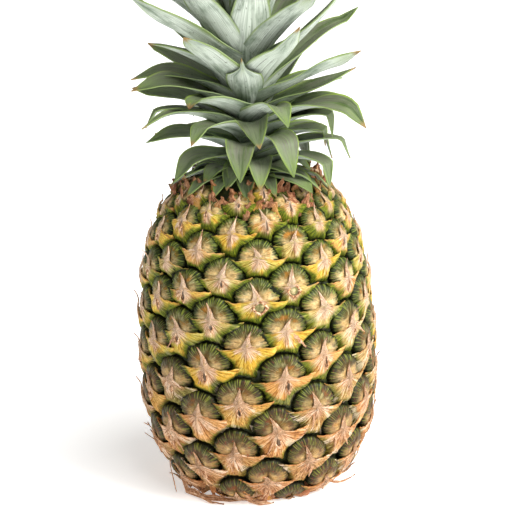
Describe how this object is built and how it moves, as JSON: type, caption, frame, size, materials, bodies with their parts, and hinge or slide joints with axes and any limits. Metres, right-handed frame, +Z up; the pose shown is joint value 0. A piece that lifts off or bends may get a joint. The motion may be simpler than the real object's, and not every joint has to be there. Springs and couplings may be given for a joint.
{
  "type": "pineapple",
  "caption": "Whole fresh pineapple standing on its cut base: a barrel-shaped fruit covered with spiral rows of raised eyes and spiny bracts, under a dense crown of pointed leaves.",
  "frame": {"origin": "on the surface that it stands on, at the middle of the stalk's cut end, under the fruit's axis", "axes": "+Z up along the fruit's axis to the crown, -Y the side seen in the picture"},
  "size_m": [0.1323, 0.1308, 0.3188],
  "materials": {
    "fruit": "fresh pineapple rind, satin cushions in olive and cream with dull papery tan bracts",
    "crown": "thick waxy leaves, grey-green with a pale bloom, brighter green edges and dry tips",
    "stalk": "dull dry cut end with coarse fibres"
  },
  "bodies": {
    "root": {"fruit": "fruit", "crown": "crown", "stalk": "stalk"}
  },
  "joints": []
}
